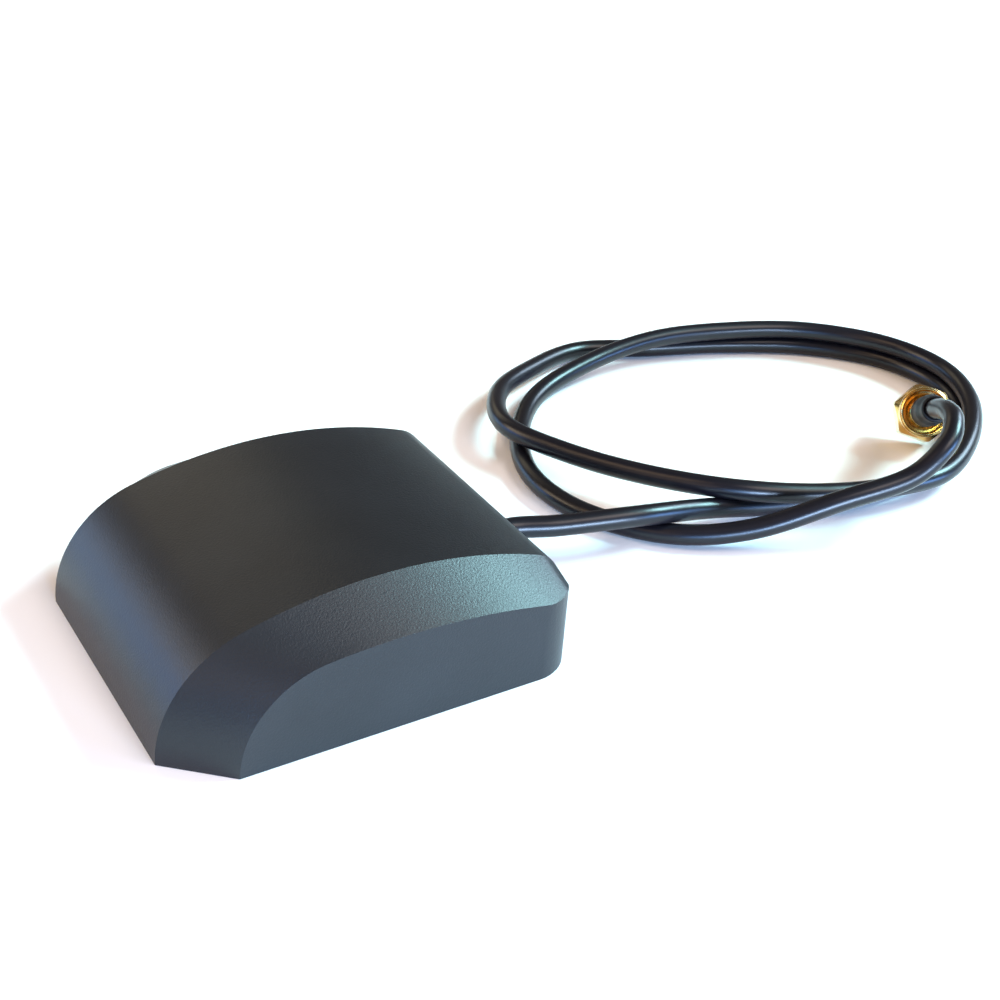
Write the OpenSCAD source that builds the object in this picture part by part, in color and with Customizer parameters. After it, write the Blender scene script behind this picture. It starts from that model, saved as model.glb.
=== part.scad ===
// Magnetic-mount active satellite positioning antenna with a coaxial lead and a threaded coaxial plug.
// The housing lies along X: its curved nose points to -X and the lead leaves the back face towards +X.
// The origin is the centre of the underside. All sizes are in millimetres.

/* [Housing] */
// Length of the housing, nose to back face
body_l = 48; // [44:0.5:64]
// Width of the housing
body_w = 44; // [42:0.5:60]
// Height of the back face
back_h = 11.3; // [11:0.1:16]
// Radius of the long arc over the top
top_r = 56; // [50:1:100]
// Radius of the nose arc
nose_r = 13.8; // [13:0.1:18]
// Radius of the upright back corners
corner_r = 5.5; // [3:0.5:9]
// Radius of the back face's upper edge
edge_r = 4.2; // [3:0.1:5]
// Wall of the housing cover
wall = 1.8; // [1.2:0.1:2.4]

/* [Side bevel] */
// Width of the bevel, seen from above
bevel_w = 5.9; // [2:0.1:9]
// Drop of the bevel at the back face
bevel_drop = 2.5; // [1:0.1:4]
// Setback of the bevel at the nose
bevel_setback = 6.7; // [3:0.1:9]
// Radius of the long arc along the bevel's lower edge
bevel_top_r = 84; // [60:1:120]
// Radius of the nose arc along the bevel's lower edge
bevel_nose_r = 11.2; // [9:0.1:13]
// Radius of the back face's upper edge at the bevel's lower edge
bevel_edge_r = 2.4; // [2.4:0.1:4]

/* [Base] */
// Thickness of the rubber pad
pad_t = 0.6; // [0.4:0.1:1.2]
// Thickness of the base plate
plate_t = 2.6; // [2.2:0.1:3.4]
// Diameter of each magnet
magnet_d = 14; // [8:0.5:16]
// Thickness of each magnet
magnet_t = 2; // [1:0.1:2]
// Distance from one magnet's centre to the other's
magnet_gap = 20; // [17:0.5:22]
// Diameter of the base screws' shanks
screw_d = 2; // [1.6:0.1:2.2]
// Length of the base screws
screw_l = 6; // [4:0.5:7]

/* [Electronics] */
// Side of the square circuit board
board_side = 32; // [30:0.5:34]
// Thickness of the circuit board
board_t = 0.8; // [0.6:0.1:1.2]
// Side of the square ceramic patch
patch_side = 25; // [18:0.5:25]
// Thickness of the ceramic patch
patch_t = 4; // [2:0.1:4.2]
// Margin of bare ceramic around the patch's electrode
electrode_margin = 1.5; // [0.5:0.1:4]
// Length of the shield can
can_l = 20; // [14:0.5:20]
// Width of the shield can
can_w = 15; // [12:0.5:20]
// Height of the shield can
can_h = 2.1; // [1.6:0.1:2.2]
// Thickness of the shield can's sheet
can_sheet = 0.2; // [0.1:0.05:0.3]

/* [Lead] */
// Diameter of the lead's jacket
cable_d = 2.8; // [2.5:0.1:3]
// Diameter of the insulation inside the lead's braid
core_insulation_d = 1.52; // [1.3:0.02:1.6]
// Diameter of the lead's inner conductor
core_d = 0.5; // [0.4:0.05:0.6]
// Height of the lead's centre where it leaves the back face
exit_z = 5; // [4.8:0.1:5.4]
// Length of the grommet's tapered nose outside the back face
grommet_nose = 3; // [2:0.5:5]
// Diameter of the grommet's neck in the wall
grommet_d = 4.8; // [4:0.1:5.4]

/* [Plug] */
// Size across the flats of the coupling nut
nut_af = 7.6; // [7:0.1:9]
// Length of the coupling nut
nut_l = 6.5; // [6:0.1:8]
// Radius of the threaded hole in the coupling nut
thread_r = 3.1; // [3:0.05:3.2]
// Length of the plug behind the coupling nut
tail_l = 9.2; // [8:0.1:12]
// Outer diameter of the crimp ferrule
ferrule_d = 3.7; // [3.6:0.1:4.2]
// Outer diameter of the plug's barrel
barrel_d = 5; // [4.8:0.1:5.2]
// Diameter of the centre pin
pin_d = 0.9; // [0.8:0.05:1]
// Tilt of the plug's nose below the level
plug_tilt = 29; // [24:1:32]
// Heading of the plug's nose, from +X towards +Y
plug_turn = 47; // [42:1:52]

/* [Hidden] */

$fn = 48;
slack = 0.05;        // gap between pieces that touch
cut = 1;             // how far a cutter runs past a face
arc_steps = 16;      // steps along each long arc of the housing's outline
edge_steps = 4;      // steps round the back face's upper edge

// Housing
seal_t = 1;          // height of the base seal
seal_depth = 0.8;    // depth of the seal's groove in the base plate
seal_z = pad_t + (plate_t - seal_t) / 2;
plate_top = pad_t + plate_t;
plate_gap = 0.15;    // gap between the base plate and the cover
boss_r = 2.2;
boss_inset_x = 4.4;  // from the back face, or from the nose past the bevel's setback
boss_inset_y = 4.6;
boss_spots = [for (s = [-1, 1]) each [
    [body_l / 2 - boss_inset_x, s * (body_w / 2 - boss_inset_y)],
    [-body_l / 2 + bevel_setback, s * (body_w / 2 - bevel_w - boss_r)]]];
head_r = screw_d * 0.95;
head_t = 1.2;
screw_hole_r = screw_d / 2 + 0.1;

// Circuit board, which lies on the inner end of the lead's insulation
board_back = 7;       // from the back face to the board's rear edge
board_x = body_l / 2 - board_back - board_side / 2;
board_z = exit_z + core_insulation_d / 2 + slack;
board_top = board_z + board_t;
board_spots = [for (s = [-1, 1], t = [-1, 1]) [board_x + s * (board_side / 2 - 2), t * (board_side / 2 - 2)]];
standoff_r = 1.9;
board_screw_r = 0.8;
board_screw_head = [1.4, 0.8];      // radius and height
board_screw_l = 2.4;                // below the board
adhesive_t = 0.2;
patch_z = board_top + adhesive_t;
electrode_t = 0.1;
feed_x = board_x + 2;
feed_r = 0.4;
feed_head = [1, 0.3];               // radius and height
feed_tail = 0.6;                    // below the board
can_x = board_x - 3;

// Lead
cable_r = cable_d / 2;
grommet_r = grommet_d / 2;
grommet_flange = [grommet_r + 0.9, 1];   // radius and thickness, inside the wall
exit_x = body_l / 2 + grommet_nose;
clamp_l = 1.6;
clamp_wall = 0.3;
clamp_x = body_l / 2 - wall - grommet_flange[1] - clamp_l - 0.2;
jacket_end = clamp_x - 0.6;
insulation_end = jacket_end - 3;
core_end = insulation_end - 1;

// Plug, along its own Z from the lead's end to the nose
plug_l = tail_l + nut_l;
plug_dir = [cos(plug_tilt) * cos(plug_turn), cos(plug_tilt) * sin(plug_turn), -sin(plug_tilt)];
plug_xy = [91.8, -7.7];
hex_corner = nut_af / 2 / cos(30);
hex_reach = nut_af / 2 + 0.8 * (hex_corner - nut_af / 2);      // the corners are turned down to this
hex_nose = nut_af / 2 + 0.4 * (hex_corner - nut_af / 2);       // radius of the nut's front chamfer
plug_z = plug_l * sin(plug_tilt) + hex_reach * cos(plug_tilt) + slack;
shoulder = tail_l + 2.9;            // step in the nut, where its thread starts
ring_z = tail_l + 2;                // retaining ring's groove
ring_t = 0.5;
ring_depth = 0.3;
barrel_r = barrel_d / 2;
barrel_end = tail_l + 4.4;
insulator_r = 2.05;
insulator_z = tail_l + 0.8;
spigot_z = 4;                       // start of the barrel's crimp spigot
spigot_r = 1.42;
collar_r = nut_af / 2 - 0.15;
collar_t = 1.8;
hex_turn = 41;                      // of the hexagon about the plug's axis
recess_r = 3.1;                     // rear recess of the coupling nut
recess_t = 1.2;
nut_run = 0.05;                     // running gap between the nut and the barrel

// Route of the lead's centre from the grommet to the plug: two and a quarter loose turns.
// Its lowest stretches lie on the ground, and the second turn lies on the first.
low = cable_r;
over = 4.3;
route = [[exit_x, 0, exit_z], [34, -2, 4.9], [45, -4.5, 4.8], [56, -4.2, 2.8], [67, -6, 1.5],
         [79, -8.5, low], [91, -8, low], [102, -3.5, low], [111, 3, low], [115.5, 12, low],
         [113.5, 23, low], [105, 32, low], [93, 38, low], [80.5, 42, low], [69, 45.5, 1.6],
         [57, 41, 2.6], [47.5, 34.5, 3.6], [42.5, 24.5, over], [46, 14, over], [52, 4, 4.6],
         [60, -5, 5.1], [71, -9.5, 4.1], [82, -11.5, 3.4], [92.5, -11.5, 3.3], [103, -6, 4],
         [111.5, 2.5, over], [115.5, 12.5, over], [113, 23, over], [104.5, 32, over],
         [93, 37, over], [80, 39.5, 4.2], [67.5, 39, 3], [55, 35, 1.7], [46, 26, 1.45],
         [41, 15, low], [42, 4, low], [49, -5.5, 1.55], [58, -11, 2.9], [68.5, -15, 6.5],
         [78, -17.5, 9], [83.5, -17.5, 12.5], [87, -15, 14], [89.5, -11.5, 13.5],
         [plug_xy[0], plug_xy[1], plug_z]];
grommet_run = 7;                    // straight runs that shape the lead's two ends
plug_run = 9;
rings = 79;
ring_sides = 8;
last = len(route) - 1;
tangents = [for (i = [0:last]) i == 0 ? [grommet_run, 0, 0]
                             : i == last ? plug_dir * plug_run / 2
                             : (route[i + 1] - route[i - 1]) / 2];

// Centre of the long arc that is tangent to a nose arc standing on the ground
// and passes through the back face's upper corner.
function long_centre(nose, nose_radius, long_radius, corner) =
    let (d = corner - nose, span = norm(d), near = long_radius - nose_radius)
    let (along = (near * near - long_radius * long_radius + span * span) / (2 * span))
    let (aside = sqrt(near * near - along * along))
    nose + along * d / span - aside * [-d[1], d[0]] / span;

// Points along an arc
function arc(centre, radius, from, to, steps) =
    [for (i = [0:steps]) let (a = from + (to - from) * i / steps) centre + radius * [cos(a), sin(a)]];

// Points of the arch from the ground at the nose to the back face, moved inwards by inset.
function arch(start, nose_radius, long_radius, corner, edge_radius, inset) =
    let (nose = [start + nose_radius, 0])
    let (top = long_centre(nose, nose_radius, long_radius, corner))
    let (turn = atan2(nose[1] - top[1], nose[0] - top[0]))
    let (edge_x = corner[0] - edge_radius, reach = long_radius - edge_radius)
    let (edge = [edge_x, top[1] + sqrt(reach * reach - (edge_x - top[0]) * (edge_x - top[0]))])
    let (finish = atan2(edge[1] - top[1], edge[0] - top[0]))
    concat(arc(nose, nose_radius - inset, 180, turn, arc_steps),
           arc(top, long_radius - inset, turn, finish, arc_steps),
           arc(edge, edge_radius - inset, finish, 0, edge_steps));

// A thin slab of the arch, lying across Y, between -half_w and half_w.
module arch_slab(points, back, half_w) {
    rotate([90, 0, 0])
        translate([0, 0, -half_w])
            linear_extrude(height = 2 * half_w)
                polygon(concat(points, [[back, 0]]));
}

// The housing's outer form, moved inwards by inset on every side but the ground.
module form(inset) {
    back = body_l / 2 - inset;
    intersection() {
        hull() {
            arch_slab(arch(-body_l / 2, nose_r, top_r, [body_l / 2, back_h], edge_r, inset),
                      back, body_w / 2 - bevel_w - inset / 2);
            arch_slab(arch(-body_l / 2 + bevel_setback, bevel_nose_r, bevel_top_r,
                           [body_l / 2, back_h - bevel_drop], bevel_edge_r, inset),
                      back, body_w / 2 - inset);
        }
        plan_prism(inset);
    }
}

// An upright prism with the back corners rounded.
module plan_prism(inset) {
    r = corner_r - inset;
    w = body_w - 2 * inset;
    tall = 2 * nose_r;
    translate([-body_l / 2, -w / 2, -cut])
        cube([body_l - corner_r, w, tall]);
    translate([-body_l / 2, -w / 2 + r, -cut])
        cube([body_l - inset, w - 2 * r, tall]);
    for (s = [-1, 1])
        translate([body_l / 2 - corner_r, s * (w / 2 - r), -cut])
            cylinder(r = r, h = tall);
}

module slab(z, t) {
    translate([-body_l, -body_w, z])
        cube([2 * body_l, 2 * body_w, t]);
}

// Puts a shape at each of a list of places
module at(spots, z) {
    for (p = spots)
        translate([p[0], p[1], z])
            children();
}

// Turns a shape's Z to lie along +X, at a place
module along_x(x, z) {
    translate([x, 0, z])
        rotate([0, 90, 0])
            children();
}

module housing_cover() {
    color("#2b2c30") difference() {
        union() {
            difference() {
                form(0);
                form(wall);
                slab(-cut, cut + slack / 10);
            }
            intersection() {
                form(slack);
                at(boss_spots, plate_top + slack)
                    cylinder(r = boss_r, h = 2 * nose_r);
            }
        }
        at(boss_spots, plate_top - cut)
            cylinder(r = screw_d / 2 + slack / 2, h = cut + pad_t + screw_l - plate_top + 0.5);
        along_x(body_l / 2 - wall - cut, exit_z)
            cylinder(r = grommet_r + slack, h = wall + 2 * cut);
    }
}

module base_plate() {
    inset = wall + plate_gap;
    color("#3a3b3f") difference() {
        union() {
            intersection() {
                form(inset);
                slab(pad_t, plate_t);
            }
            at(board_spots, plate_top - slack)
                cylinder(r = standoff_r, h = board_z - plate_top);
        }
        difference() {
            slab(seal_z, seal_t);
            form(inset + seal_depth);
        }
        at([for (s = [-1, 1]) [board_x + s * magnet_gap / 2, 0]], pad_t - cut)
            cylinder(d = magnet_d + 2 * slack, h = cut + magnet_t + slack);
        along_x(core_end - cut, exit_z)
            cylinder(r = cable_r + clamp_wall + slack, h = body_l);
        at(boss_spots, pad_t - cut) {
            cylinder(r = screw_hole_r, h = plate_t + 2 * cut);
            cylinder(r = head_r + slack, h = cut + slack);
        }
        at(boss_spots, pad_t)
            cylinder(r1 = head_r + slack, r2 = screw_hole_r, h = head_t);
        at(board_spots, board_z - board_screw_l - slack)
            cylinder(r = board_screw_r + slack / 2, h = board_screw_l + cut);
    }
}

module base_seal() {
    color("#1c1c1e") difference() {
        intersection() {
            form(wall + slack / 2);
            slab(seal_z + slack / 2, seal_t - slack);
        }
        intersection() {
            form(wall + plate_gap + seal_depth - slack / 2);
            slab(seal_z - cut, seal_t + 2 * cut);
        }
    }
}

module base_pad() {
    color("#202124") intersection() {
        form(wall + plate_gap);
        slab(0, pad_t - slack / 2);
    }
}

module magnets() {
    color("#b9babd") at([for (s = [-1, 1]) [board_x + s * magnet_gap / 2, 0]], pad_t)
        cylinder(d = magnet_d, h = magnet_t);
}

module base_screws() {
    color("#8d8f93") at(boss_spots, pad_t) difference() {
        union() {
            cylinder(r1 = head_r, r2 = screw_d / 2, h = head_t - slack);
            cylinder(r = screw_d / 2, h = screw_l);
        }
        translate([0, 0, -cut])
            cylinder(r = screw_d / 4, h = cut + head_t / 2, $fn = 6);
    }
}

module circuit_board() {
    color("#1f5a3a") difference() {
        translate([board_x - board_side / 2, -board_side / 2, board_z])
            cube([board_side, board_side, board_t]);
        at(board_spots, board_z - cut)
            cylinder(r = board_screw_r + 0.1, h = board_t + 2 * cut);
        at([[feed_x, 0]], board_z - cut)
            cylinder(r = feed_r + slack, h = board_t + 2 * cut);
    }
}

module board_screws() {
    color("#8d8f93") at(board_spots, board_z - board_screw_l) {
        cylinder(r = board_screw_r, h = board_screw_l + board_t + slack);
        translate([0, 0, board_screw_l + board_t + slack / 2])
            cylinder(r = board_screw_head[0], h = board_screw_head[1]);
    }
}

// A square tile centred on the board, with a hole for the feed pin
module tile(side, z, t) {
    difference() {
        translate([board_x - side / 2, -side / 2, z])
            cube([side, side, t]);
        at([[feed_x, 0]], z - cut)
            cylinder(r = feed_r + slack, h = t + 2 * cut);
    }
}

module patch_adhesive() {
    color("#d8d2b8") tile(patch_side - 1, board_top, adhesive_t);
}

module ceramic_patch() {
    color("#cbb791") tile(patch_side, patch_z, patch_t);
}

module patch_electrode() {
    color("#c9cacc") tile(patch_side - 2 * electrode_margin, patch_z + patch_t, electrode_t);
}

module feed_pin() {
    top = patch_z + patch_t + electrode_t;
    color("#d2a84a") at([[feed_x, 0]], board_z - feed_tail) {
        cylinder(r = feed_r, h = top - board_z + feed_tail + slack);
        translate([0, 0, top - board_z + feed_tail])
            cylinder(r = feed_head[0], h = feed_head[1]);
    }
}

module feed_solder() {
    color("#a9abae") at([[feed_x, 0]], board_z - feed_tail + slack) difference() {
        cylinder(r1 = feed_r + 0.1, r2 = 2 * feed_r, h = feed_tail - slack);
        translate([0, 0, -cut])
            cylinder(r = feed_r, h = feed_tail + 2 * cut);
    }
}

module shield_can() {
    inner = [can_l - 2 * can_sheet, can_w - 2 * can_sheet, can_h];
    color("#b4b6b8") translate([can_x, 0, board_z - can_h]) difference() {
        translate([-can_l / 2, -can_w / 2, 0])
            cube([can_l, can_w, can_h]);
        translate([-inner[0] / 2, -inner[1] / 2, can_sheet])
            cube(inner);
    }
}

// A small block soldered to the underside of the board, inside the shield can
module under_board(spot, size) {
    translate([can_x + spot[0] - size[0] / 2, spot[1] - size[1] / 2, board_z - size[2]])
        cube(size);
}

module amplifier_chip() {
    color("#1a1a1c") under_board([0, -3], [2, 2, 0.8]);
}

module saw_filter() {
    color("#8f8a70") under_board([-5, -3], [3, 3, 1.1]);
}

module chip_components() {
    color("#9a7b55") for (i = [0:5], s = [0, 1])
        under_board([-7 + 2.4 * i, 2.6 + 2 * s], [1, 0.5, 0.5]);
}

module cable_grommet() {
    inside = body_l / 2 - wall;
    color("#161618") difference() {
        union() {
            difference() {
                along_x(inside - grommet_flange[1] - slack / 2, exit_z)
                    cylinder(r = grommet_flange[0], h = grommet_flange[1]);
                slab(-cut, cut + plate_top + slack);
            }
            along_x(inside - slack, exit_z)
                cylinder(r = grommet_r, h = wall + slack);
            along_x(body_l / 2, exit_z)
                cylinder(r1 = grommet_r, r2 = cable_r + 0.35, h = grommet_nose);
        }
        along_x(inside - grommet_flange[1] - cut, exit_z)
            cylinder(r = cable_r, h = wall + grommet_nose + 3 * cut);
    }
}

module cable_clamp() {
    color("#b8923f") along_x(clamp_x, exit_z) difference() {
        cylinder(r = cable_r + clamp_wall, h = clamp_l);
        translate([0, 0, -cut])
            cylinder(r = cable_r, h = clamp_l + 2 * cut);
    }
}

module cable_tail() {
    color("#1d1d20") {
        along_x(jacket_end, exit_z)
            cylinder(r = cable_r, h = exit_x - jacket_end);
        along_x(insulation_end, exit_z)
            cylinder(d = core_insulation_d, h = jacket_end - insulation_end + slack);
        along_x(core_end, exit_z)
            cylinder(d = core_d, h = insulation_end - core_end + slack);
    }
}

module tail_solder() {
    rise = board_z - exit_z;
    color("#a9abae") difference() {
        translate([core_end - 0.4, -0.7, exit_z - core_d])
            cube([1.3, 1.4, rise + core_d]);
        along_x(core_end, exit_z)
            cylinder(d = core_d, h = 2);
    }
}

// Point and direction of the route at u, counted in route points
function route_point(u) =
    let (i = min(floor(u), last - 1), t = u - i)
    (2 * t * t * t - 3 * t * t + 1) * route[i] + (t * t * t - 2 * t * t + t) * tangents[i]
    + (3 * t * t - 2 * t * t * t) * route[i + 1] + (t * t * t - t * t) * tangents[i + 1];
function route_run(u) =
    let (i = min(floor(u), last - 1), t = u - i)
    (6 * t * t - 6 * t) * (route[i] - route[i + 1]) + (3 * t * t - 4 * t + 1) * tangents[i]
    + (3 * t * t - 2 * t) * tangents[i + 1];
function unit(v) = v / norm(v);

module cable() {
    ring_points = [for (k = [0:rings - 1])
        let (u = last * k / (rings - 1), ahead = unit(route_run(u)))
        let (side = unit(cross(ahead, [0, 0, 1])), up = cross(side, ahead))
        for (j = [0:ring_sides - 1])
            let (a = 360 * (j + 0.5) / ring_sides)
            route_point(u) + cable_r * (cos(a) * side + sin(a) * up)];
    walls = [for (k = [0:rings - 2], j = [0:ring_sides - 1])
        let (here = k * ring_sides, next = here + ring_sides, m = (j + 1) % ring_sides)
        each [[here + j, here + m, next + m], [here + j, next + m, next + j]]];
    first_cap = [for (j = [0:ring_sides - 1]) ring_sides - 1 - j];
    last_cap = [for (j = [0:ring_sides - 1]) (rings - 1) * ring_sides + j];
    color("#1d1d20")
        polyhedron(points = ring_points, faces = concat(walls, [first_cap, last_cap]), convexity = 10);
}

// Puts the plug's pieces, drawn along Z, where the plug lies
module on_plug() {
    translate([plug_xy[0], plug_xy[1], plug_z])
        rotate([0, 90 + plug_tilt, plug_turn])
            children();
}

// A ring or tube along Z
module tube(inner, outer, z, l) {
    translate([0, 0, z]) difference() {
        cylinder(r = outer, h = l);
        translate([0, 0, -cut])
            cylinder(r = inner, h = l + 2 * cut);
    }
}

module plug_cable_end() {
    strip = 3.6;
    pin_back = insulator_z - 1.6;
    color("#1d1d20") on_plug() {
        cylinder(r = cable_r, h = strip);
        cylinder(d = core_insulation_d, h = pin_back);
        cylinder(d = core_d, h = pin_back + 1);
    }
}

module heat_shrink() {
    step = 2.4;
    sheath = 0.35;
    color("#131314") on_plug() rotate_extrude()
        polygon([[cable_r + slack / 5, 0], [cable_r + sheath, 0], [cable_r + sheath, step - 0.8],
                 [ferrule_d / 2 + sheath, step + 0.6], [ferrule_d / 2 + sheath, tail_l - 0.5],
                 [ferrule_d / 2 + slack / 5, tail_l - 0.5], [ferrule_d / 2 + slack / 5, step + 0.6],
                 [cable_r + slack / 5, step + 0.4]]);
}

module crimp_ferrule() {
    start = 3.2;
    color("#c9a24b") on_plug()
        tube(spigot_r + slack / 5, ferrule_d / 2, start, tail_l - start - 0.1);
}

module plug_body() {
    bore = core_insulation_d / 2 + slack / 5;
    groove = barrel_r - ring_depth;
    color("#d0a548") on_plug() rotate_extrude()
        polygon([[bore, spigot_z], [spigot_r, spigot_z], [spigot_r, tail_l], [1.9, tail_l],
                 [barrel_r, tail_l + 0.6], [barrel_r, ring_z], [groove, ring_z],
                 [groove, ring_z + ring_t + slack], [barrel_r, ring_z + ring_t + slack],
                 [barrel_r, barrel_end], [insulator_r, barrel_end], [insulator_r, insulator_z],
                 [bore, insulator_z]]);
}

module plug_insulator() {
    color("#eceae4") on_plug()
        tube(pin_d / 2 + slack / 5, insulator_r - slack / 5, insulator_z, barrel_end - insulator_z);
}

module centre_pin() {
    start = insulator_z - 1.4;
    straight = plug_l - 1;
    color("#d8ad50") on_plug() difference() {
        union() {
            translate([0, 0, start])
                cylinder(d = pin_d, h = straight - start);
            translate([0, 0, straight])
                cylinder(d1 = pin_d, d2 = pin_d / 3, h = 0.5);
        }
        translate([0, 0, start - cut])
            cylinder(d = core_d + slack / 2, h = cut + 1.2);
    }
}

module retaining_ring() {
    color("#b07d3a") on_plug() difference() {
        tube(barrel_r - ring_depth + slack / 5, barrel_r + 0.25, ring_z + slack / 2, ring_t);
        translate([0, -ring_t / 2, ring_z - cut])
            cube([barrel_d, ring_t, 3 * cut]);
    }
}

module plug_gasket() {
    color("#8c2f22") on_plug()
        tube(barrel_r + slack / 5, thread_r - 0.15, shoulder + slack, 0.6);
}

module coupling_nut() {
    hex_l = nut_l - collar_t;
    rear_slope = 0.6;                   // gentle, so that the corners end well ahead of the collar
    front_slope = 2;
    color("#d9ac4c") on_plug() difference() {
        union() {
            translate([0, 0, tail_l])
                cylinder(r = collar_r, h = collar_t);
            translate([0, 0, tail_l + collar_t]) intersection() {
                rotate([0, 0, hex_turn])
                    cylinder(r = hex_corner, h = hex_l, $fn = 6);
                cylinder(r1 = collar_r, r2 = collar_r + rear_slope * hex_l, h = hex_l);
                cylinder(r1 = hex_nose + front_slope * hex_l, r2 = hex_nose, h = hex_l);
                cylinder(r = hex_reach, h = hex_l);
            }
        }
        translate([0, 0, tail_l - cut])
            cylinder(r = recess_r, h = cut + recess_t);
        translate([0, 0, tail_l - cut])
            cylinder(r = barrel_r + nut_run, h = nut_l);
        translate([0, 0, ring_z - slack])
            cylinder(r = barrel_r + 0.4, h = ring_t + 3 * slack);
        translate([0, 0, shoulder])
            cylinder(r = thread_r, h = nut_l);
    }
}

housing_cover();
base_plate();
base_seal();
base_pad();
magnets();
base_screws();
circuit_board();
board_screws();
ceramic_patch();
patch_electrode();
patch_adhesive();
feed_pin();
feed_solder();
shield_can();
amplifier_chip();
saw_filter();
chip_components();
cable_grommet();
cable_clamp();
cable_tail();
tail_solder();
cable();
plug_cable_end();
heat_shrink();
crimp_ferrule();
plug_body();
plug_insulator();
centre_pin();
retaining_ring();
plug_gasket();
coupling_nut();
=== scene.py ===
import math

import bmesh
import bpy
from mathutils import Matrix, Vector


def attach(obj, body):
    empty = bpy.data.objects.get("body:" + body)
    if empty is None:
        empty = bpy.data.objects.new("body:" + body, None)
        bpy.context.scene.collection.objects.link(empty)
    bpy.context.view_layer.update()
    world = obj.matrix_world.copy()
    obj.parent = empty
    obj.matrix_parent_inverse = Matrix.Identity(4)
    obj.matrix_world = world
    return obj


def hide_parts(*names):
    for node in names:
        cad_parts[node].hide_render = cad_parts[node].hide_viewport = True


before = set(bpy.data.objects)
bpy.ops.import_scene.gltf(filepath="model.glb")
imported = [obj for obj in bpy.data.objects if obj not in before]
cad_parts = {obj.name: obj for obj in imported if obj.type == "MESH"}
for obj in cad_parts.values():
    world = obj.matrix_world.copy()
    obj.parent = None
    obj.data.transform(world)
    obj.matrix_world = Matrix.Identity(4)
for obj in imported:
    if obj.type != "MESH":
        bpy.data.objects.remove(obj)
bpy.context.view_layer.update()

MM = 0.001
SAME_PLACE = 1e-7  # metres: points nearer than this are joined
ON_PLANE = 1e-6  # metres: points nearer than this to a plane lie on it


# ---------------------------------------------------------------- camera

CAMERA_SPOT = (-60.45, -129.62, 102.0)
CAMERA_RIGHT = (0.8503, -0.5225, 0.0635)
CAMERA_UP = (0.2212, 0.4642, 0.8577)
SENSOR_WIDTH = 36
FOCAL_LENGTH = 53.8
NEAREST_SEEN = 10
FARTHEST_SEEN = 20000


def make_camera():
    """Stands about 200 mm off, on the nose's side of the housing, and looks down by 31 degrees."""
    right = Vector(CAMERA_RIGHT).normalized()
    back = right.cross(Vector(CAMERA_UP)).normalized()
    place = Matrix((right, back.cross(right), back)).transposed().to_4x4()
    place.translation = Vector(CAMERA_SPOT) * MM
    lens = bpy.data.cameras.new("camera")
    lens.sensor_width = SENSOR_WIDTH
    lens.lens = FOCAL_LENGTH
    lens.clip_start = NEAREST_SEEN * MM
    lens.clip_end = FARTHEST_SEEN * MM
    camera = bpy.data.objects.new("camera", lens)
    camera.matrix_world = place
    bpy.context.collection.objects.link(camera)
    bpy.context.scene.camera = camera


# ---------------------------------------------------------------- materials

def srgb(code):
    """A colour written as hex, as the linear values that the shader takes."""
    parts = [int(code[i:i + 2], 16) / 255 for i in (1, 3, 5)]
    return tuple(p / 12.92 if p <= 0.04045 else ((p + 0.055) / 1.055) ** 2.4 for p in parts) + (1.0,)


def add(tree, kind, settings=(), **links):
    """Adds a node. settings go on the node or on its sockets, and links join its sockets to others."""
    node = tree.nodes.new("ShaderNode" + kind)
    for name, value in dict(settings).items():
        if hasattr(node, name):
            setattr(node, name, value)
        else:
            node.inputs[name].default_value = value
    for name, source in links.items():
        tree.links.new(source, node.inputs[name.replace("_", " ")])
    return node


def material(name, **settings):
    """A new material, its node tree and its one Principled shader."""
    made = bpy.data.materials.new(name)
    made.use_nodes = True
    tree = made.node_tree
    shader = tree.nodes["Principled BSDF"]
    for key, value in settings.items():
        shader.inputs[key.replace("_", " ")].default_value = value
    return made, tree, shader


def place_of(tree):
    return add(tree, "TexCoord").outputs["Object"]


def per_metre(size_mm):
    """A noise texture's scale for features of this size."""
    return 1 / (size_mm * MM)


def grain(tree, shader, size_mm, depth_mm, strength=1.0):
    """Fine relief all over a surface."""
    noise = add(tree, "TexNoise", {"Scale": per_metre(size_mm), "Detail": 2.0, "Roughness": 0.6},
                Vector=place_of(tree))
    bump = add(tree, "Bump", {"Strength": strength, "Distance": depth_mm * MM},
               Height=noise.outputs["Fac"])
    tree.links.new(bump.outputs["Normal"], shader.inputs["Normal"])


def vary(tree, shader, socket, size_mm, low, high):
    """Lets a value or a colour drift between two ends over a surface."""
    noise = add(tree, "TexNoise", {"Scale": per_metre(size_mm), "Detail": 3.0}, Vector=place_of(tree))
    ramp = add(tree, "ValToRGB", Fac=noise.outputs["Fac"])
    ends = ramp.color_ramp.elements
    for end, position, value in zip(ends, (0.35, 0.68), (low, high)):
        end.position = position
        end.color = value if isinstance(value, tuple) else (value, value, value, 1)
    tree.links.new(ramp.outputs["Color"], shader.inputs[socket])


def moulded_abs():
    """Black ABS from a spark-eroded mould: a fine, even grain with a satin sheen."""
    made, tree, shader = material("moulded_abs_black", Roughness=0.4, IOR=1.45)
    vary(tree, shader, "Base Color", 14, srgb("#111215"), srgb("#17181b"))
    grain(tree, shader, 0.24, 0.03)
    return made


def smooth_pvc():
    """Extruded PVC: smoother than the housing, with long soft highlights."""
    made, tree, shader = material("extruded_pvc_black", Roughness=0.3, IOR=1.46, Specular_IOR_Level=0.4)
    vary(tree, shader, "Base Color", 9, srgb("#0c0a0f"), srgb("#121015"))
    grain(tree, shader, 0.5, 0.01, strength=0.5)
    return made


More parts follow.
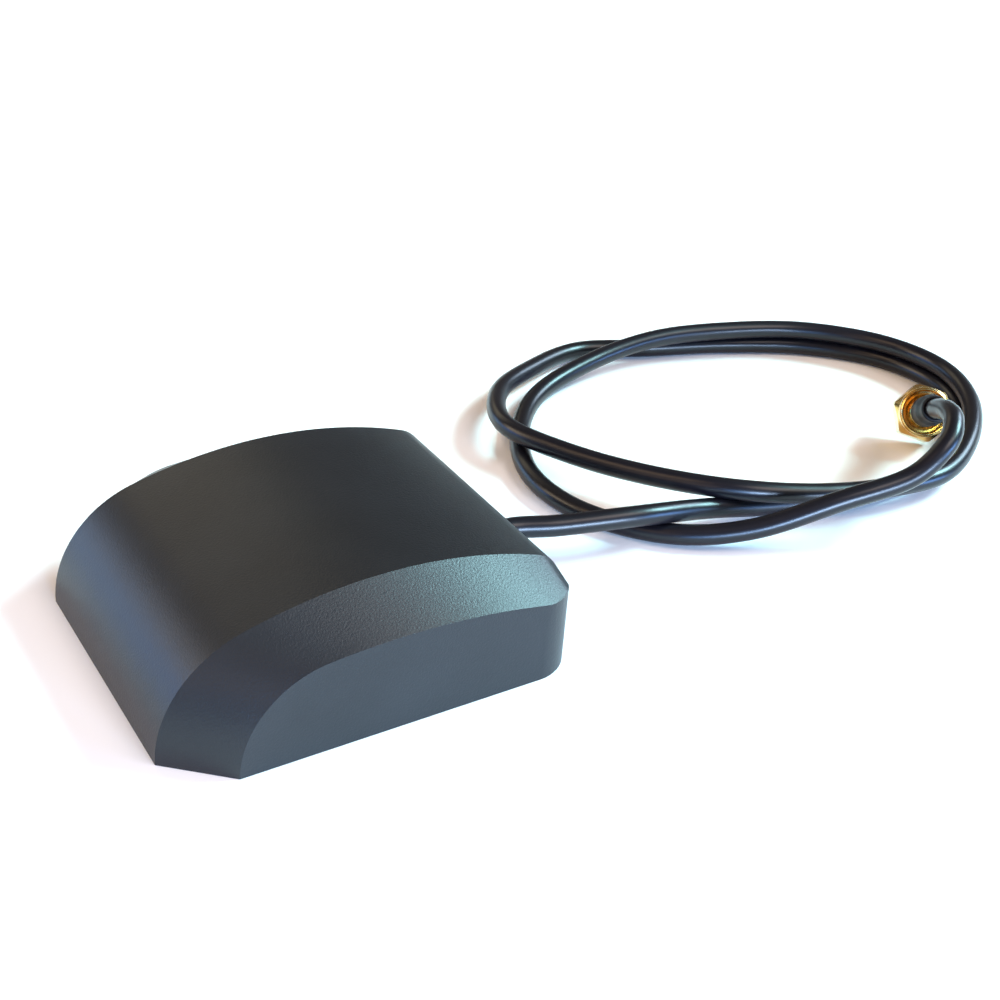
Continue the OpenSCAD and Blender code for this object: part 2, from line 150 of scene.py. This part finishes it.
def shrunk_polyolefin():
    """Heat-shrunk polyolefin: matt, with faint ripples where it drew in."""
    made, tree, shader = material("heat_shrunk_polyolefin", Roughness=0.55, IOR=1.45,
                                  Specular_IOR_Level=0.3)
    vary(tree, shader, "Base Color", 4, srgb("#09090b"), srgb("#0e0e11"))
    grain(tree, shader, 0.9, 0.05, strength=0.6)
    return made


def gold_plate():
    """Gold plate on turned brass: warm and bright, with faint marks of the lathe."""
    made, tree, shader = material("gold_plated_brass", Metallic=1.0)
    vary(tree, shader, "Base Color", 2.5, srgb("#ddb260"), srgb("#f0d090"))
    vary(tree, shader, "Roughness", 1.2, 0.16, 0.26)
    grain(tree, shader, 0.2, 0.003, strength=0.5)
    return made


def plain_kinds():
    """The finishes of the pieces inside and underneath."""
    kinds = {
        # name: (colours, roughness, metallic, grain in mm, relief in mm)
        "moulded_abs_base": ("#2c2d31", "#35363a", 0.5, 0, 0.25, 0.02),
        "nitrile_rubber": ("#19191b", "#222224", 0.75, 0, 0.3, 0.03),
        "nickel_plate": ("#b5b3ac", "#c9c7c0", 0.28, 1, 0.4, 0.005),
        "zinc_plated_steel": ("#8d9096", "#a3a6ab", 0.35, 1, 0.3, 0.01),
        "solder_mask_green": ("#14502f", "#1b6239", 0.32, 0, 0.6, 0.01),
        "fired_ceramic": ("#c9b48c", "#d6c5a2", 0.6, 0, 0.2, 0.015),
        "fired_silver": ("#c2c2be", "#d6d6d2", 0.35, 1, 0.15, 0.008),
        "foam_tape": ("#d5cfb6", "#e0dbc6", 0.8, 0, 0.2, 0.02),
        "tin_solder": ("#a2a5a8", "#bcbfc2", 0.25, 1, 0.4, 0.02),
        "tinned_sheet": ("#adb0b2", "#c0c3c5", 0.3, 1, 0.5, 0.006),
        "moulded_epoxy": ("#161618", "#1e1e21", 0.6, 0, 0.1, 0.01),
        "turned_ptfe": ("#e6e4de", "#f2f1ec", 0.45, 0, 0.3, 0.01),
        "red_silicone": ("#84291f", "#963226", 0.5, 0, 0.3, 0.01),
        "spring_bronze": ("#a9743a", "#bd8547", 0.3, 1, 0.2, 0.006),
    }
    made = {}
    for name, (low, high, rough, metal, size, relief) in kinds.items():
        made[name], tree, shader = material(name, Roughness=rough, Metallic=float(metal))
        vary(tree, shader, "Base Color", 3, srgb(low), srgb(high))
        grain(tree, shader, size, relief, strength=0.6)
    return made


# ---------------------------------------------------------------- the lead

# The lead's centre line in mm, from the grommet to the plug. The low stretches lie on the ground.
ROUTE = [
    (27, 0, 5), (34, -2, 4.9), (45, -4.5, 4.8), (56, -4.2, 2.8), (67, -6, 1.5),
    (79, -8.5, 1.4), (91, -8, 1.4), (102, -3.5, 1.4), (111, 3, 1.4), (115.5, 12, 1.4),
    (113.5, 23, 1.4), (105, 32, 1.4), (93, 38, 1.4), (80.5, 42, 1.4), (69, 45.5, 1.6),
    (57, 41, 2.6), (47.5, 34.5, 3.6), (42.5, 24.5, 4.3), (46, 14, 4.3), (52, 4, 4.6),
    (60, -5, 5.1), (71, -9.5, 4.1), (82, -11.5, 3.4), (92.5, -11.5, 3.3), (103, -6, 4),
    (111.5, 2.5, 4.3), (115.5, 12.5, 4.3), (113, 23, 4.3), (104.5, 32, 4.3),
    (93, 37, 4.3), (80, 39.5, 4.2), (67.5, 39, 3), (55, 35, 1.7), (46, 26, 1.45),
    (41, 15, 1.4), (42, 4, 1.4), (49, -5.5, 1.55), (58, -11, 2.9), (68.5, -15, 6.5),
    (78, -17.5, 9), (83.5, -17.5, 12.5), (87, -15, 14), (89.5, -11.5, 13.5),
]
CABLE_R = 1.4
CABLE_STEPS = 12
PLUG_TILT = math.radians(29)
PLUG_TURN = math.radians(47)
PLUG_TAIL = 9.2  # from the plug's start to the nut's rear
PLUG_LENGTH = PLUG_TAIL + 6.5
NUT_REACH = 4.27  # the turned corners of the hexagon, from the plug's axis
NUT_FLATS = 7.6
NUT_BORE_R = 3.12
HEX_TURN = math.radians(41)
GROUND_GAP = 0.05
PLUG_DIR = Vector((math.cos(PLUG_TILT) * math.cos(PLUG_TURN),
                   math.cos(PLUG_TILT) * math.sin(PLUG_TURN),
                   -math.sin(PLUG_TILT)))
# The nose of the nut rests on the ground.
PLUG_START = Vector((91.8, -7.7, PLUG_LENGTH * math.sin(PLUG_TILT) + NUT_REACH * math.cos(PLUG_TILT)
                     + GROUND_GAP))
# How far the lead runs straight out of the grommet, and straight into the plug.
GROMMET_RUN = 7
PLUG_RUN = 9


def make_lead():
    """A round curve through the route's points, which leaves and arrives in line with its ends."""
    points = [Vector(p) for p in ROUTE] + [PLUG_START]
    runs = [(b - a) / 2 for a, b in zip(points, points[2:])]
    runs = [Vector((GROMMET_RUN, 0, 0))] + runs + [PLUG_DIR * PLUG_RUN / 2]
    curve = bpy.data.curves.new("lead", "CURVE")
    curve.dimensions = "3D"
    spline = curve.splines.new("BEZIER")
    spline.bezier_points.add(len(points) - 1)
    for knot, point, run in zip(spline.bezier_points, points, runs):
        knot.handle_left_type = knot.handle_right_type = "FREE"
        knot.co = point * MM
        knot.handle_left = (point - run / 3) * MM
        knot.handle_right = (point + run / 3) * MM
    spline.resolution_u = CABLE_STEPS
    curve.bevel_depth = CABLE_R * MM
    curve.bevel_resolution = 6
    curve.use_fill_caps = True
    curve.twist_mode = "Z_UP"
    lead = bpy.data.objects.new("lead", curve)
    bpy.context.collection.objects.link(lead)
    return lead


# ---------------------------------------------------------------- the housing cover

BODY_L = 48
BODY_W = 44
BACK_H = 11.3
NOSE_R = 13.8
TOP_R = 56
EDGE_R = 4.2
WALL = 1.8
CORNER_R = 5.5
EASED_EDGE = 0.4
# The bevel along each side, from the arch's edge to a lower line with arcs of its own.
BEVEL_W = 5.9
BEVEL_DROP = 2.5
BEVEL_SETBACK = 6.7
BEVEL_NOSE_R = 11.2
BEVEL_TOP_R = 84
BEVEL_EDGE_R = 2.4
# The lead's hole in the back face.
EXIT_Z = 5
EXIT_HOLE_R = 2.45
ALONG_X = Matrix.Rotation(math.pi / 2, 4, "Y")  # turns what was drawn along Z
# Steps along each arc.
NOSE_STEPS = 24
TOP_STEPS = 40
EDGE_STEPS = 8
CORNER_STEPS = 12


def arch(start, nose_r, long_r, corner, edge_r):
    """An outline of the housing from the side: nose arc, long arc, back edge's arc, back face."""
    nose = Vector((start + nose_r, 0))
    to_corner = Vector(corner) - nose
    near = long_r - nose_r
    span = to_corner.length
    along = (near ** 2 - long_r ** 2 + span ** 2) / (2 * span)
    aside = math.sqrt(near ** 2 - along ** 2)
    across = Vector((-to_corner.y, to_corner.x)) / span
    top = nose + to_corner * along / span - across * aside
    turn = math.atan2(nose.y - top.y, nose.x - top.x)
    edge_x = corner[0] - edge_r
    edge = Vector((edge_x, top.y + math.sqrt((long_r - edge_r) ** 2 - (edge_x - top.x) ** 2)))
    finish = math.atan2(edge.y - top.y, edge.x - top.x)
    arcs = ((nose, nose_r, math.pi, turn, NOSE_STEPS), (top, long_r, turn, finish, TOP_STEPS),
            (edge, edge_r, finish, 0, EDGE_STEPS))
    outline = [nose + Vector((-nose_r, 0))]
    for centre, radius, first, last, steps in arcs:
        for i in range(1, steps + 1):
            angle = first + (last - first) * i / steps
            outline.append(centre + radius * Vector((math.cos(angle), math.sin(angle))))
    return outline + [Vector((corner[0], 0))]


def make_cover():
    """The cover's outer skin: an arch between two lower outlines, open underneath."""
    upper = arch(-BODY_L / 2, NOSE_R, TOP_R, (BODY_L / 2, BACK_H), EDGE_R)
    lower = arch(-BODY_L / 2 + BEVEL_SETBACK, BEVEL_NOSE_R, BEVEL_TOP_R,
                 (BODY_L / 2, BACK_H - BEVEL_DROP), BEVEL_EDGE_R)
    shell = bmesh.new()
    loops = []
    for outline, y in ((lower, -BODY_W / 2), (upper, BEVEL_W - BODY_W / 2),
                       (upper, BODY_W / 2 - BEVEL_W), (lower, BODY_W / 2)):
        ring = [shell.verts.new((p.x * MM, y * MM, p.y * MM)) for p in outline]
        loops.append([shell.edges.new((a, b)) for a, b in zip(ring, ring[1:] + ring[:1])])
    for first, second in zip(loops, loops[1:]):
        bmesh.ops.bridge_loops(shell, edges=first + second)
    for loop in (loops[0], loops[-1]):
        bmesh.ops.contextual_create(shell, geom=loop)
    bmesh.ops.recalc_face_normals(shell, faces=shell.faces)
    # The upright back corners are rounded by planes that touch their radius.
    for side in (-1, 1):
        centre = Vector((BODY_L / 2 - CORNER_R, side * (BODY_W / 2 - CORNER_R), 0))
        for i in range(CORNER_STEPS):
            angle = math.pi / 2 * (i + 0.5) / CORNER_STEPS
            out = Vector((math.cos(angle), side * math.sin(angle), 0))
            plane_cut(shell, (centre + out * CORNER_R) * MM, out)
    # The underside is open, for the base plate.
    floor = [f for f in shell.faces if all(abs(v.co.z) < ON_PLANE for v in f.verts)]
    bmesh.ops.delete(shell, geom=floor, context="FACES")
    # The grommet's hole in the back face.
    back = [f for f in shell.faces if all(abs(v.co.x - BODY_L / 2 * MM) < ON_PLANE for v in f.verts)]
    rim = list({e for f in back for e in f.edges if sum(g in back for g in e.link_faces) < 2
                or len(e.link_faces) < 2})
    bmesh.ops.delete(shell, geom=back, context="FACES_ONLY")
    hole = bmesh.ops.create_circle(
        shell, segments=32, radius=EXIT_HOLE_R * MM,
        matrix=Matrix.Translation(Vector((BODY_L / 2, 0, EXIT_Z)) * MM) @ ALONG_X)
    hole_edges = list({e for v in hole["verts"] for e in v.link_edges})
    bmesh.ops.triangle_fill(shell, use_beauty=True, edges=rim + hole_edges, normal=(1, 0, 0))
    bmesh.ops.recalc_face_normals(shell, faces=shell.faces)
    return finished("cover", shell)


def plane_cut(mesh_in_progress, place, normal):
    """Cuts away what is beyond a plane and closes the cut."""
    whole = mesh_in_progress.verts[:] + mesh_in_progress.edges[:] + mesh_in_progress.faces[:]
    cut = bmesh.ops.bisect_plane(mesh_in_progress, geom=whole, dist=SAME_PLACE, plane_co=place,
                                 plane_no=normal, clear_outer=True)
    rim = [g for g in cut["geom_cut"] if isinstance(g, bmesh.types.BMEdge)]
    bmesh.ops.contextual_create(mesh_in_progress, geom=rim)


def finished(name, mesh_in_progress, smooth=True):
    """Makes an object of a mesh in progress."""
    mesh = bpy.data.meshes.new(name)
    mesh_in_progress.to_mesh(mesh)
    mesh_in_progress.free()
    if smooth:
        mesh.polygons.foreach_set("use_smooth", [True] * len(mesh.polygons))
    made = bpy.data.objects.new(name, mesh)
    bpy.context.collection.objects.link(made)
    return made


def soften(piece, wall, width, segments=3, angle=14):
    """Gives a shell its wall, if any, eases its edges and keeps its flats looking flat."""
    if wall:
        solid = piece.modifiers.new("wall", "SOLIDIFY")
        solid.thickness = wall * MM
        solid.offset = -1
        solid.use_even_offset = True
    ease = piece.modifiers.new("eased edges", "BEVEL")
    ease.width = width * MM
    ease.segments = segments
    ease.limit_method = "ANGLE"
    ease.angle_limit = math.radians(angle)
    ease.miter_outer = "MITER_ARC"
    flats = piece.modifiers.new("flats", "WEIGHTED_NORMAL")
    flats.weight = 80


# ---------------------------------------------------------------- turned and moulded pieces

def on_plug(mesh_in_progress):
    """Takes what was drawn along Z, from the plug's start, to where the plug lies."""
    turn = Matrix.Rotation(PLUG_TURN, 4, "Z") @ Matrix.Rotation(math.pi / 2 + PLUG_TILT, 4, "Y")
    bmesh.ops.transform(mesh_in_progress, matrix=Matrix.Translation(PLUG_START * MM) @ turn,
                        verts=mesh_in_progress.verts)


def turned(profile, steps=64):
    """Spins a closed profile of (radius, z) points in mm about Z."""
    work = bmesh.new()
    points = [work.verts.new((r * MM, 0, z * MM)) for r, z in profile]
    ring = [work.edges.new((a, b)) for a, b in zip(points, points[1:] + points[:1])]
    bmesh.ops.spin(work, geom=points + ring, axis=(0, 0, 1), cent=(0, 0, 0), angle=2 * math.pi,
                   steps=steps, use_merge=True)
    bmesh.ops.remove_doubles(work, verts=work.verts, dist=SAME_PLACE)
    bmesh.ops.recalc_face_normals(work, faces=work.faces)
    return work


def make_sleeve():
    """The black sleeve, shrunk over the step from the lead to the ferrule, with its soft rear lip."""
    work = turned([
        (1.42, -0.35), (1.62, -0.42), (1.8, -0.3), (1.84, 0.1), (1.84, 1.4), (1.88, 1.9), (2.02, 2.5),
        (2.16, 3.0), (2.22, 3.5), (2.2, 4.6), (2.22, 5.6), (2.2, 6.8), (2.22, 7.8), (2.21, 8.4),
        (2.12, 8.66), (1.95, 8.7), (1.86, 8.65), (1.86, 3.1), (1.42, 2.7)])
    on_plug(work)
    return finished("heat_shrink_sleeve", work)


def make_grommet():
    """The rubber strain relief: a flange inside the wall, a collar outside, and a ribbed nose."""
    face, inside = BODY_L / 2, BODY_L / 2 - WALL
    flange = [(CABLE_R, -1.0), (3.1, -1.0), (3.25, -0.85), (3.25, -0.05), (2.4, -0.03)]
    nose = [(2.4, 0.05), (2.42, 0.35), (2.36, 0.62), (2.18, 0.72), (2.12, 0.95), (2.2, 1.1), (2.16, 1.4),
            (2.0, 1.52), (1.95, 1.75), (2.03, 1.9), (1.98, 2.2), (1.84, 2.32), (1.79, 2.5), (1.82, 2.7),
            (1.72, 2.92), (1.58, 3.0), (CABLE_R, 3.0)]
    work = turned([(r, inside + x) for r, x in flange] + [(r, face + x) for r, x in nose])
    place = Matrix.Translation(Vector((0, 0, EXIT_Z)) * MM) @ ALONG_X
    bmesh.ops.transform(work, matrix=place, verts=work.verts)
    return finished("grommet", work)


def eased_copy(node, width, segments=2, angle=30):
    """A CAD node's shape with its sharp edges eased, to catch the light."""
    work = bmesh.new()
    work.from_mesh(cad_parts[node].data)
    bmesh.ops.remove_doubles(work, verts=work.verts, dist=2 * ON_PLANE)
    bmesh.ops.dissolve_limit(work, angle_limit=math.radians(1), verts=work.verts, edges=work.edges)
    piece = finished(node + "_eased", work)
    soften(piece, 0, width, segments, angle)
    return piece


def make_nut():
    """The coupling nut: a double rim round its rear recess, a ring groove, and flats cut last."""
    collar, bore, neck, groove, length = 3.65, NUT_BORE_R, 2.56, 2.88, PLUG_LENGTH - PLUG_TAIL
    profile = [
        # the recess and its double rim
        (neck, 1.25), (3.06, 1.2), (bore, 0.2), (3.2, 0.03), (3.3, 0), (3.38, 0.06),
        (3.41, 0.3), (3.46, 0.34), (3.56, 0.3), (3.63, 0.4), (collar, 0.6),
        # the collar, the hexagon's slope and its nose
        (collar, 1.8), (NUT_REACH, 2.83), (NUT_REACH, length - 0.12), (4.0, length), (3.3, length),
        # the threaded bore, and the groove for the retaining ring
        (bore, length - 0.15), (bore, 2.9), (neck, 2.9), (neck, 2.6), (groove, 2.6),
        (groove, 1.96), (neck, 1.96)]
    work = turned([(r, PLUG_TAIL + x) for r, x in profile], steps=96)
    for i in range(6):
        turn = HEX_TURN + math.pi / 6 + math.pi / 3 * i
        out = Vector((math.cos(turn), math.sin(turn), 0))
        plane_cut(work, out * NUT_FLATS / 2 * MM, out)
    bmesh.ops.recalc_face_normals(work, faces=work.faces)
    on_plug(work)
    nut = finished("coupling_nut_turned", work)
    soften(nut, 0, 0.07, segments=2, angle=24)
    return nut


def make_thread():
    """The nut's inner thread, 36 turns to the inch: one ridge, spun with a rise."""
    pitch, root, crest = 25.4 / 36, NUT_BORE_R, 2.86
    first, last = PLUG_TAIL + 3.9, PLUG_TAIL + 6.0
    turns = (last - first) / pitch
    work = bmesh.new()
    profile = [(root, -0.3), (crest, -0.05), (crest, 0.05), (root, 0.3)]
    points = [work.verts.new((r * MM, 0, (first + z) * MM)) for r, z in profile]
    face = work.faces.new(points)
    steps = int(turns * 32)
    bmesh.ops.spin(work, geom=[face] + list(face.edges) + points, axis=(0, 0, 1), cent=(0, 0, 0),
                   dvec=(0, 0, (last - first) / steps * MM), angle=2 * math.pi * turns, steps=steps)
    bmesh.ops.recalc_face_normals(work, faces=work.faces)
    on_plug(work)
    return finished("nut_thread", work, smooth=False)


# ---------------------------------------------------------------- floor and light

FLOOR_HALF = 3  # metres
FLOOR_DROP = 0.05


def make_floor():
    """A wide white sheet, a hair below the ground."""
    sheet = bmesh.new()
    bmesh.ops.create_grid(sheet, x_segments=1, y_segments=1, size=FLOOR_HALF)
    bmesh.ops.translate(sheet, verts=sheet.verts, vec=(0, 0, -FLOOR_DROP * MM))
    floor = finished("floor", sheet)
    paper = material("white_paper", Roughness=0.9, Base_Color=srgb("#fbfaf9"),
                     Specular_IOR_Level=0.1)[0]
    floor.data.materials.append(paper)


LIT_SPOT = Vector((40, 0, 5))  # what every panel faces


def softbox(name, azimuth, elevation, size, power, colour):
    """A soft panel a metre off. azimuth turns from +X towards +Y; elevation rises from the ground."""
    panel = bpy.data.lights.new(name, "AREA")
    panel.shape = "RECTANGLE"
    panel.size, panel.size_y = size
    panel.energy = power
    panel.color = srgb(colour)[:3]
    light = bpy.data.objects.new(name, panel)
    turn, rise = math.radians(azimuth), math.radians(elevation)
    out = Vector((math.cos(rise) * math.cos(turn), math.cos(rise) * math.sin(turn), math.sin(rise)))
    light.location = LIT_SPOT * MM + out
    light.rotation_euler = out.to_track_quat("Z", "Y").to_euler()
    bpy.context.collection.objects.link(light)


def make_light():
    """A cool window beyond the loops, a bright low sill on the near side, and a soft room."""
    world = bpy.data.worlds.new("room")
    world.use_nodes = True
    sky = world.node_tree.nodes["Background"]
    sky.inputs["Color"].default_value = srgb("#ffefe9")
    sky.inputs["Strength"].default_value = 0.184
    bpy.context.scene.world = world
    window, sill, wall = (0.34, 0.26), (0.5, 0.24), (0.5, 0.4)
    softbox("window", -12, 40, window, 15.5, "#b8f2fa")
    softbox("window_low", 6, 26, window, 4.3, "#d0e6ff")
    softbox("sill", 270, 7, sill, 23.0, "#bcdaff")
    softbox("sill_left", 250, 7, sill, 5.8, "#6fb0ff")
    softbox("sill_right", 310, 7, sill, 9.5, "#7db4ff")
    softbox("room_low_back", 120, 7, sill, 1.6, "#97c8ff")
    softbox("room_low_left", 150, 7, sill, 2.4, "#59a0ff")
    softbox("room_back", 90, 28, wall, 0.9, "#fff1d3")
    softbox("room_left_back", 150, 28, wall, 3.7, "#ffe8c6")
    softbox("room_left", 210, 28, wall, 0.9, "#ffe0c2")
    softbox("ceiling_left", 180, 55, wall, 1.9, "#ffd9b0")
    softbox("ceiling_front", 300, 55, wall, 3.6, "#ffeee6")


# ---------------------------------------------------------------- putting it together

def place_piece(piece, body, finish, slot, *nodes):
    """Gives a piece its finish and its body, and hides the CAD nodes that it stands for."""
    piece.data.materials.clear()
    piece.data.materials.append(finish)
    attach(piece, body)
    if nodes:
        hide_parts(*nodes)


make_camera()
lead = make_lead()
cover = make_cover()
soften(cover, WALL, EASED_EDGE)
make_floor()
make_light()
bpy.context.scene.view_settings.view_transform = "Standard"

abs_black = moulded_abs()
pvc = smooth_pvc()
shrunk = shrunk_polyolefin()
gold = gold_plate()
kinds = plain_kinds()

sleeve = make_sleeve()
place_piece(sleeve, "antenna", shrunk, "shrink", "heat_shrink")
grommet = make_grommet()
place_piece(grommet, "antenna", kinds["nitrile_rubber"], "grommet_rubber", "cable_grommet")
nut = make_nut()
place_piece(nut, "nut", gold, "gold_brass", "coupling_nut")
thread = make_thread()
place_piece(thread, "nut", gold, "gold_brass")
barrel = eased_copy("plug_body", 0.06)
place_piece(barrel, "antenna", gold, "gold_brass", "plug_body")
place_piece(lead, "antenna", pvc, "cable_pvc", "cable")
place_piece(cover, "antenna", abs_black, "cover_abs", "housing_cover")

# The CAD nodes that are shown as they are.
NODE_FINISH = {
    "base_plate": kinds["moulded_abs_base"], "base_seal": kinds["nitrile_rubber"],
    "base_pad": kinds["nitrile_rubber"], "magnets": kinds["nickel_plate"],
    "base_screws": kinds["zinc_plated_steel"], "circuit_board": kinds["solder_mask_green"],
    "board_screws": kinds["zinc_plated_steel"], "ceramic_patch": kinds["fired_ceramic"],
    "patch_electrode": kinds["fired_silver"], "patch_adhesive": kinds["foam_tape"],
    "feed_pin": gold, "feed_solder": kinds["tin_solder"], "shield_can": kinds["tinned_sheet"],
    "amplifier_chip": kinds["moulded_epoxy"], "saw_filter": kinds["fired_ceramic"],
    "chip_components": kinds["fired_ceramic"], "cable_clamp": gold, "cable_tail": pvc,
    "tail_solder": kinds["tin_solder"], "plug_cable_end": pvc, "crimp_ferrule": gold,
    "plug_insulator": kinds["turned_ptfe"], "centre_pin": gold,
    "retaining_ring": kinds["spring_bronze"], "plug_gasket": kinds["red_silicone"],
}
for name, finish in NODE_FINISH.items():
    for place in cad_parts[name].material_slots:
        place.material = finish
